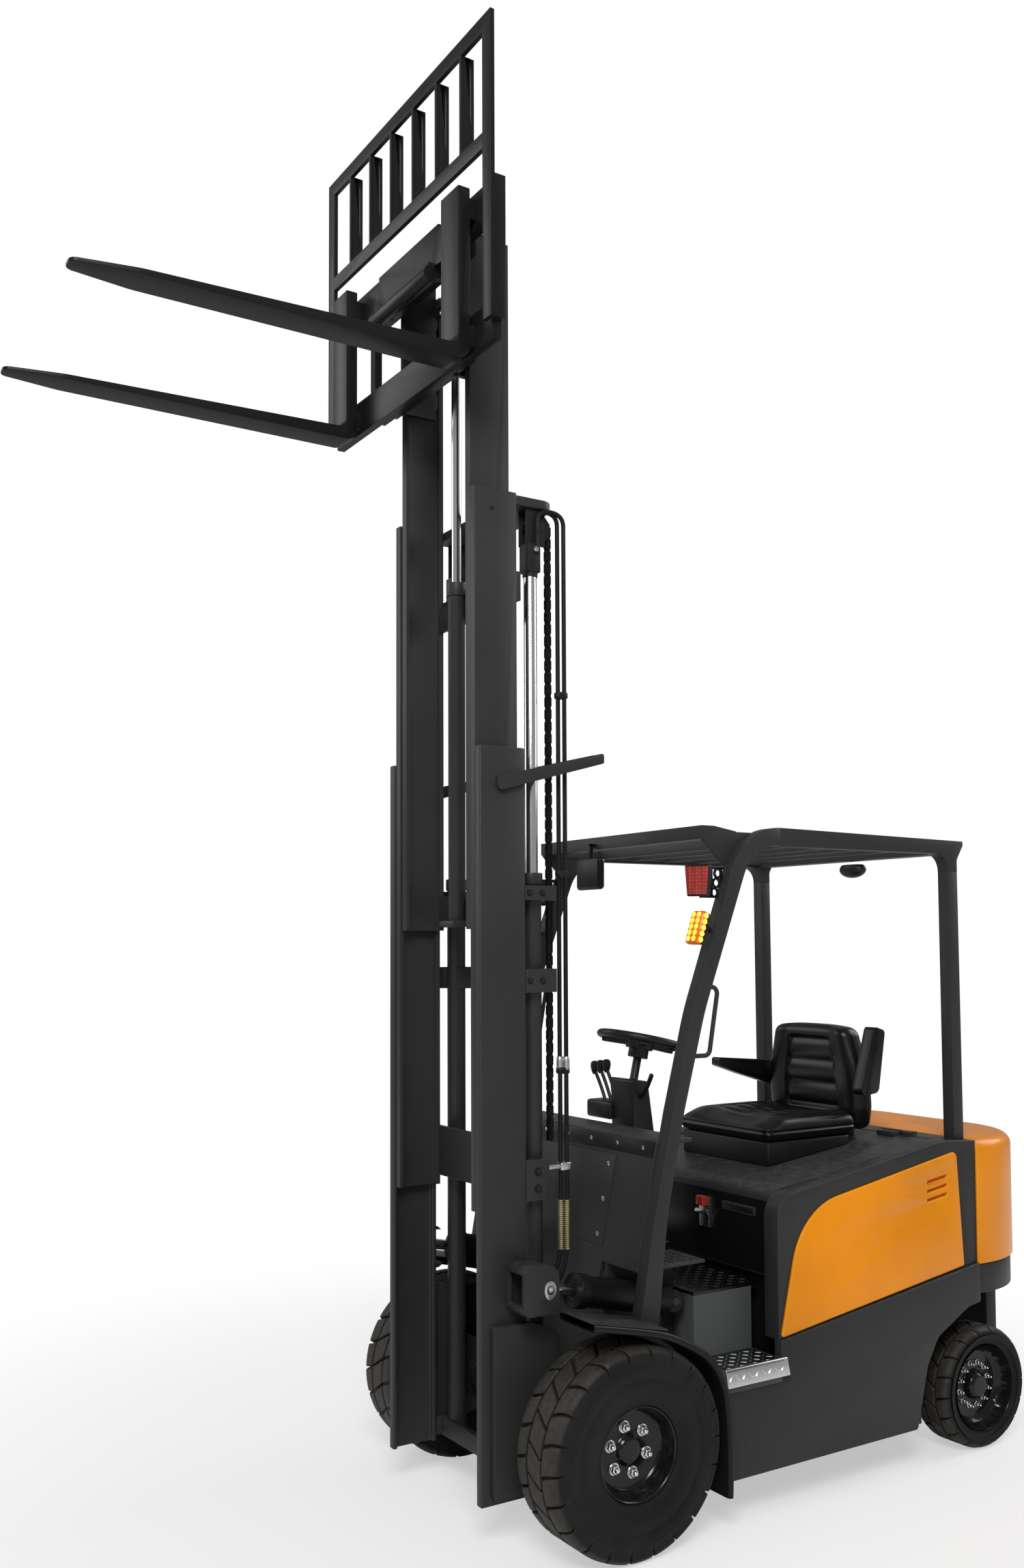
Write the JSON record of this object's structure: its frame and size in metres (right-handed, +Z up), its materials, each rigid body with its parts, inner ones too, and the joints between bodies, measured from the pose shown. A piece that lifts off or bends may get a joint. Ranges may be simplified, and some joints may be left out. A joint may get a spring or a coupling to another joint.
{
  "type": "electric counterbalance forklift",
  "caption": "Four-wheel electric counterbalance forklift with a triple mast that is raised, side shift, load backrest, overhead guard, and a battery under a seat hood that opens.",
  "frame": {"origin": "middle of the box round the truck, at floor level", "axes": "+Z up, -Y forward along the forks, +X to the truck's left"},
  "size_m": [1.188, 3.465, 4.372],
  "materials": {
    "black_paint": "satin",
    "grey_paint": "satin",
    "orange_paint": "gloss",
    "light_grey_paint": "satin",
    "dark_steel": "satin",
    "rim_paint": "gloss",
    "chrome_rod": "polished",
    "tyre_rubber": "matte",
    "hose_rubber": "matte",
    "seat_vinyl": "satin",
    "black_plastic": "matte",
    "red_plastic": "gloss",
    "amber_plastic": "gloss",
    "tread_plate": "brushed",
    "cast_black": "matte"
  },
  "bodies": {
    "chassis": {"drive_axle": "cast_black", "steer_axle": "cast_black", "side_skirts": "grey_paint", "frame": "grey_paint", "battery": "black_paint", "side_frames": "grey_paint", "side_panels": "orange_paint", "rear_deck": "light_grey_paint", "counterweight": "orange_paint", "counterweight_base": "grey_paint", "floor_plate": "black_paint", "steps": "black_paint", "step_nosings": "tread_plate", "fenders": "black_paint", "cowl": "grey_paint", "guard_posts": "grey_paint", "guard_roof": "grey_paint", "grab_handles": "grey_paint", "square_lamps": "red_plastic", "amber_lamps": "amber_plastic", "rear_view_mirror": "black_plastic", "steering_column": "black_plastic"},
    "steering_wheel": {"steering_wheel": "black_plastic"},
    "hood": {"hood": "grey_paint", "hood_latch": "red_plastic", "seat_base": "black_plastic", "seat_cushion": "seat_vinyl", "seat_back": "seat_vinyl", "armrests": "black_plastic"},
    "mast_outer": {"outer_rails": "grey_paint", "outer_mast_ties": "grey_paint", "lift_barrels": "grey_paint"},
    "mast_mid": {"mid_rails": "grey_paint", "mid_mast_ties": "grey_paint", "lift_rods": "chrome_rod", "lift_chains": "dark_steel", "mast_hoses": "hose_rubber"},
    "mast_inner": {"inner_rails": "grey_paint", "inner_mast_ties": "grey_paint", "free_lift_barrel": "grey_paint"},
    "free_lift_rod": {"free_lift_rod": "chrome_rod"},
    "carriage": {"carriage": "dark_steel"},
    "side_shift": {"fork_carrier": "dark_steel", "forks": "black_paint", "backrest": "grey_paint"},
    "tilt_barrel_left": {"tilt_barrel_left": "black_paint"},
    "tilt_barrel_right": {"tilt_barrel_right": "black_paint"},
    "tilt_rod_left": {"tilt_rod_left": "chrome_rod"},
    "tilt_rod_right": {"tilt_rod_right": "chrome_rod"},
    "front_wheel_left": {"front_tyre_left": "tyre_rubber", "front_rim_left": "rim_paint"},
    "front_wheel_right": {"front_tyre_right": "tyre_rubber", "front_rim_right": "rim_paint"},
    "rear_wheel_left": {"rear_tyre_left": "tyre_rubber", "rear_rim_left": "rim_paint"},
    "rear_wheel_right": {"rear_tyre_right": "tyre_rubber", "rear_rim_right": "rim_paint"},
    "knuckle_left": {"knuckle_left": "cast_black"},
    "knuckle_right": {"knuckle_right": "cast_black"}
  },
  "joints": [
    {"name": "mast_tilt", "type": "hinge", "parent": "chassis", "child": "mast_outer", "pos_m": [0, -0.1675, 0.3], "axis": [1, 0, 0], "range_deg": [-6, 6]},
    {"name": "mid_lift", "type": "slide", "parent": "mast_outer", "child": "mast_mid", "axis": [0, 0, 1], "range_m": [-0.82, 0.7]},
    {"name": "inner_lift", "type": "slide", "parent": "mast_mid", "child": "mast_inner", "axis": [0, 0, 1], "range_m": [-0.82, 0.7]},
    {"name": "carriage_lift", "type": "slide", "parent": "mast_inner", "child": "carriage", "axis": [0, 0, 1], "range_m": [-1.71, 0]},
    {"name": "free_lift_stroke", "type": "slide", "parent": "mast_inner", "child": "free_lift_rod", "axis": [0, 0, 1], "range_m": [-0.855, 0]},
    {"name": "side_shift_travel", "type": "slide", "parent": "carriage", "child": "side_shift", "axis": [1, 0, 0], "range_m": [-0.1, 0.1]},
    {"name": "hood_hinge", "type": "hinge", "parent": "chassis", "child": "hood", "pos_m": [0, 1.2235, 1.067], "axis": [-1, 0, 0], "range_deg": [0, 50]},
    {"name": "steering_wheel_turn", "type": "hinge", "parent": "chassis", "child": "steering_wheel", "pos_m": [0, 0.2845, 1.418], "axis": [0, 0.225, 0.9744], "continuous": true},
    {"name": "tilt_barrel_left_pivot", "type": "hinge", "parent": "chassis", "child": "tilt_barrel_left", "pos_m": [0.362, 0.1175, 0.647], "axis": [1, 0, 0], "range_deg": [-4, 4]},
    {"name": "tilt_rod_left_stroke", "type": "slide", "parent": "tilt_barrel_left", "child": "tilt_rod_left", "axis": [0, -0.9768, 0.2141], "range_m": [-0.06, 0.06]},
    {"name": "front_wheel_left_spin", "type": "hinge", "parent": "chassis", "child": "front_wheel_left", "pos_m": [0.4865, -0.1675, 0.3], "axis": [1, 0, 0], "continuous": true},
    {"name": "kingpin_left", "type": "hinge", "parent": "chassis", "child": "knuckle_left", "pos_m": [0.34, 1.3665, 0.206], "axis": [0, 0, 1], "range_deg": [-70, 70]},
    {"name": "rear_wheel_left_spin", "type": "hinge", "parent": "knuckle_left", "child": "rear_wheel_left", "pos_m": [0.4535, 1.3665, 0.206], "axis": [1, 0, 0], "continuous": true},
    {"name": "tilt_barrel_right_pivot", "type": "hinge", "parent": "chassis", "child": "tilt_barrel_right", "pos_m": [-0.362, 0.1175, 0.647], "axis": [1, 0, 0], "range_deg": [-4, 4]},
    {"name": "tilt_rod_right_stroke", "type": "slide", "parent": "tilt_barrel_right", "child": "tilt_rod_right", "axis": [0, -0.9768, 0.2141], "range_m": [-0.06, 0.06]},
    {"name": "front_wheel_right_spin", "type": "hinge", "parent": "chassis", "child": "front_wheel_right", "pos_m": [-0.4865, -0.1675, 0.3], "axis": [1, 0, 0], "continuous": true},
    {"name": "kingpin_right", "type": "hinge", "parent": "chassis", "child": "knuckle_right", "pos_m": [-0.34, 1.3665, 0.206], "axis": [0, 0, 1], "range_deg": [-70, 70]},
    {"name": "rear_wheel_right_spin", "type": "hinge", "parent": "knuckle_right", "child": "rear_wheel_right", "pos_m": [-0.4535, 1.3665, 0.206], "axis": [1, 0, 0], "continuous": true}
  ],
  "couplings": [
    {"joint": "inner_lift", "follows": "mid_lift", "ratio": 1},
    {"joint": "free_lift_stroke", "follows": "carriage_lift", "ratio": 0.5},
    {"joint": "kingpin_right", "follows": "kingpin_left", "ratio": 1},
    {"joint": "tilt_barrel_left_pivot", "follows": "mast_tilt", "ratio": 0.5758},
    {"joint": "tilt_rod_left_stroke", "follows": "mast_tilt", "m_per_rad": 0.4},
    {"joint": "tilt_barrel_right_pivot", "follows": "mast_tilt", "ratio": 0.5758},
    {"joint": "tilt_rod_right_stroke", "follows": "mast_tilt", "m_per_rad": 0.4}
  ]
}
